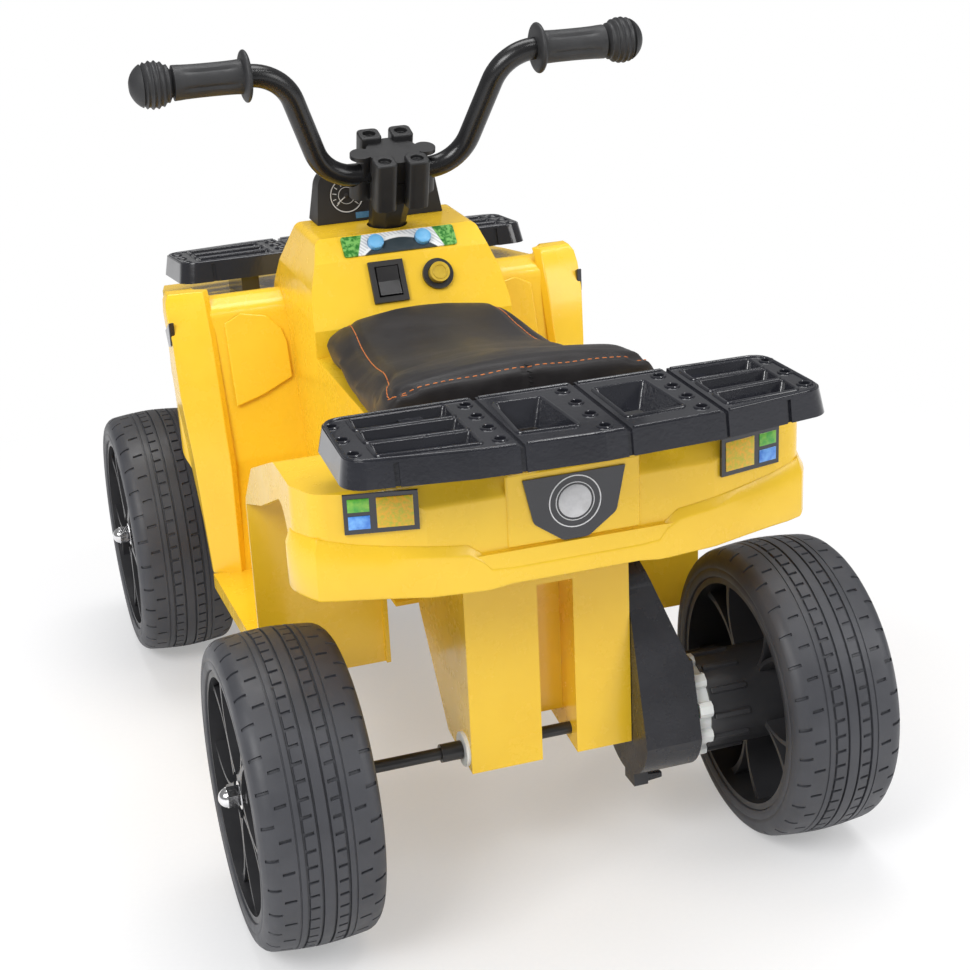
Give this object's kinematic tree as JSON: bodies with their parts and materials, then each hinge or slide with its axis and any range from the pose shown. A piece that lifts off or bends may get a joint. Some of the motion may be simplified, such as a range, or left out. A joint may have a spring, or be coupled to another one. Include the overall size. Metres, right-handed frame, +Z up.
{
  "type": "kids quad bike",
  "caption": "Battery ride-on quad bike for a small child: moulded body, padded seat, racks, handlebar steering, geared motor drive to a rear wheel.",
  "frame": {"origin": "on the ground, midway between the axles and between the wheels", "axes": "+X to the rider's right, +Y forward, +Z up"},
  "size_m": [0.4328, 0.696, 0.5142],
  "materials": {
    "body_yellow": "glossy moulded",
    "black_gloss": "glossy moulded",
    "black_matte": "satin moulded",
    "wheel_black": "satin moulded",
    "tread_black": "matte blow-moulded",
    "seat_cover": "satin coated cloth over foam",
    "grip_rubber": "matte",
    "bar_black": "powder coat",
    "steel": "zinc plated",
    "chrome": "bright plated",
    "axle_steel": "blackened steel",
    "white_nylon": "satin",
    "gear_nylon": "satin",
    "motor_steel": "plated can",
    "battery_case": "matte",
    "button_blue": "glossy",
    "button_amber": "clear tinted",
    "clear_lens": "clear"
  },
  "bodies": {
    "frame": {"main_body": "body_yellow", "chassis_pan": "body_yellow", "front_rack": "black_gloss", "rear_rack": "black_gloss", "seat_cushion": "seat_cover", "seat_pan": "black_matte", "instrument_panel": "black_gloss", "sound_panel": "black_gloss", "rocker_housing": "black_matte", "button_bezel": "black_gloss", "speaker": "black_matte", "rear_badge": "black_gloss", "rear_light_plates": "black_gloss", "headlight_bezels": "black_gloss", "headlight_lenses": "clear_lens", "front_bumper": "black_matte", "battery": "battery_case", "gearbox_inner_half": "black_matte", "gearbox_outer_half": "black_matte", "drive_motor": "motor_steel", "rear_axle": "axle_steel", "rear_axle_bushes": "white_nylon", "rear_cap_nuts": "chrome", "front_axle_beam": "bar_black", "kingpins": "steel", "column_bush": "white_nylon", "pedal_switch": "black_matte", "charge_socket": "black_matte", "body_screws": "steel"},
    "steering": {"steering_column": "steel", "handlebar": "bar_black", "left_grip": "grip_rubber", "right_grip": "grip_rubber", "clamp_base": "black_matte", "clamp_cap": "black_matte", "clamp_screws": "steel"},
    "left_knuckle_body": {"left_knuckle": "axle_steel", "front_left_cap_nut": "chrome"},
    "right_knuckle_body": {"right_knuckle": "axle_steel", "front_right_cap_nut": "chrome"},
    "tie_rod_body": {"tie_rod": "steel"},
    "front_left_wheel": {"front_left_tyre": "tread_black", "front_left_rim": "wheel_black"},
    "front_right_wheel": {"front_right_tyre": "tread_black", "front_right_rim": "wheel_black"},
    "rear_left_wheel": {"rear_left_tyre": "tread_black", "rear_left_rim": "wheel_black"},
    "rear_right_wheel": {"rear_right_tyre": "tread_black", "rear_right_rim": "wheel_black", "drive_ring": "white_nylon", "output_gear": "gear_nylon"},
    "second_gear_body": {"second_gear": "gear_nylon"},
    "first_gear_body": {"first_gear": "gear_nylon"},
    "motor_pinion_body": {"motor_pinion": "steel"},
    "pedal_body": {"foot_pedal": "black_matte"},
    "rocker_body": {"rocker": "black_gloss"},
    "power_button_body": {"power_button": "button_amber"},
    "sound_left_body": {"sound_button_left": "button_blue"},
    "sound_right_body": {"sound_button_right": "button_blue"}
  },
  "joints": [
    {"name": "steer", "type": "hinge", "parent": "frame", "child": "steering", "pos_m": [0, 0.065, 0.414], "axis": [0, -0.4831, 0.8756], "range_deg": [-25, 25]},
    {"name": "left_knuckle_turn", "type": "hinge", "parent": "frame", "child": "left_knuckle_body", "pos_m": [-0.118, 0.227, 0.1], "axis": [0, 0, 1], "range_deg": [-22.5, 22.5]},
    {"name": "right_knuckle_turn", "type": "hinge", "parent": "frame", "child": "right_knuckle_body", "pos_m": [0.118, 0.227, 0.1], "axis": [0, 0, 1], "range_deg": [-22.5, 22.5]},
    {"name": "tie_rod_turn", "type": "hinge", "parent": "left_knuckle_body", "child": "tie_rod_body", "pos_m": [-0.118, 0.189, 0.1204], "axis": [0, 0, 1], "range_deg": [-22.5, 22.5]},
    {"name": "front_left_spin", "type": "hinge", "parent": "left_knuckle_body", "child": "front_left_wheel", "pos_m": [-0.171, 0.227, 0.1], "axis": [1, 0, 0], "continuous": true},
    {"name": "front_right_spin", "type": "hinge", "parent": "right_knuckle_body", "child": "front_right_wheel", "pos_m": [0.171, 0.227, 0.1], "axis": [1, 0, 0], "continuous": true},
    {"name": "rear_left_spin", "type": "hinge", "parent": "frame", "child": "rear_left_wheel", "pos_m": [-0.171, -0.227, 0.1], "axis": [1, 0, 0], "continuous": true},
    {"name": "rear_right_spin", "type": "hinge", "parent": "frame", "child": "rear_right_wheel", "pos_m": [0.171, -0.227, 0.1], "axis": [1, 0, 0], "continuous": true},
    {"name": "second_gear_spin", "type": "hinge", "parent": "frame", "child": "second_gear_body", "pos_m": [0.072, -0.22192, 0.1321], "axis": [1, 0, 0], "continuous": true},
    {"name": "first_gear_spin", "type": "hinge", "parent": "frame", "child": "first_gear_body", "pos_m": [0.064, -0.21722, 0.16173], "axis": [1, 0, 0], "continuous": true},
    {"name": "motor_spin", "type": "hinge", "parent": "frame", "child": "motor_pinion_body", "pos_m": [0.063, -0.21253, 0.19136], "axis": [1, 0, 0], "continuous": true},
    {"name": "pedal_press", "type": "hinge", "parent": "frame", "child": "pedal_body", "pos_m": [0.116, -0.018, 0.131], "axis": [-1, 0, 0], "range_deg": [0, 6], "stiffness_Nm_per_rad": 3, "springref_deg": -2.86},
    {"name": "rocker_tilt", "type": "hinge", "parent": "frame", "child": "rocker_body", "pos_m": [-0.0145, 0.04262, 0.3382], "axis": [1, 0, 0], "range_deg": [-9, 9]},
    {"name": "power_press", "type": "slide", "parent": "frame", "child": "power_button_body", "axis": [0, 0.8732, -0.4874], "range_m": [0, 0.003], "stiffness_N_per_m": 250, "springref_m": -0.002},
    {"name": "sound_left_press", "type": "slide", "parent": "frame", "child": "sound_left_body", "axis": [0, 0.7311, -0.6823], "range_m": [0, 0.0015], "stiffness_N_per_m": 300, "springref_m": -0.002},
    {"name": "sound_right_press", "type": "slide", "parent": "frame", "child": "sound_right_body", "axis": [0, 0.7311, -0.6823], "range_m": [0, 0.0015], "stiffness_N_per_m": 300, "springref_m": -0.002}
  ],
  "couplings": [
    {"joint": "left_knuckle_turn", "follows": "steer", "ratio": 0.87556},
    {"joint": "right_knuckle_turn", "follows": "steer", "ratio": 0.87556},
    {"joint": "tie_rod_turn", "follows": "steer", "ratio": -0.87556},
    {"joint": "second_gear_spin", "follows": "rear_right_spin", "ratio": -3.3333},
    {"joint": "first_gear_spin", "follows": "rear_right_spin", "ratio": 10},
    {"joint": "motor_spin", "follows": "rear_right_spin", "ratio": -30}
  ]
}
